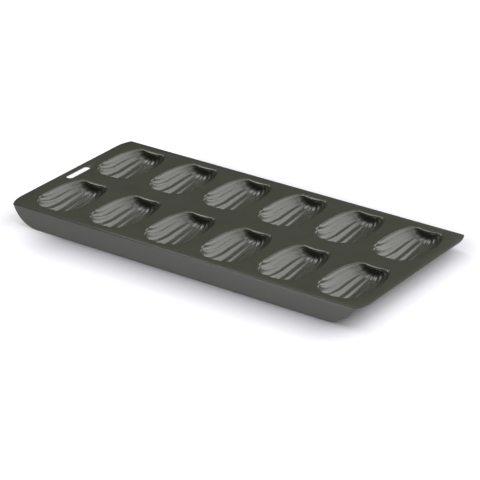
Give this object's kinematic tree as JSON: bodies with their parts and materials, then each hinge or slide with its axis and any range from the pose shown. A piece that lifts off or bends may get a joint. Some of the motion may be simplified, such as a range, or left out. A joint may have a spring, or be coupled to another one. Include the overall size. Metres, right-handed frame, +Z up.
{
  "type": "madeleine baking tray",
  "caption": "Long low baking tray of coated sheet metal with fluted shell-shaped cups, folded-down long sides to stand on and a hanging slot at one end.",
  "frame": {"origin": "on the table under the middle of the tray, which is the middle of the bounding box's bottom face", "axes": "+X along the tray, away from the hanging slot; +Y across the tray to the blunt heels of the cups, so the front edge faces -Y; +Z up"},
  "size_m": [0.395, 0.195, 0.0184],
  "materials": {
    "deck_coating": "dark satin non-stick coating on steel sheet",
    "flap_coating": "dark satin non-stick coating on steel sheet",
    "cup_coating": "dark satin non-stick coating on drawn steel sheet, a little smoother than the deck"
  },
  "bodies": {
    "root": {"deck": "deck_coating", "front_flap": "flap_coating", "back_flap": "flap_coating", "cup_front_1": "cup_coating", "cup_front_2": "cup_coating", "cup_front_3": "cup_coating", "cup_front_4": "cup_coating", "cup_front_5": "cup_coating", "cup_front_6": "cup_coating", "cup_back_1": "cup_coating", "cup_back_2": "cup_coating", "cup_back_3": "cup_coating", "cup_back_4": "cup_coating", "cup_back_5": "cup_coating", "cup_back_6": "cup_coating"}
  },
  "joints": []
}
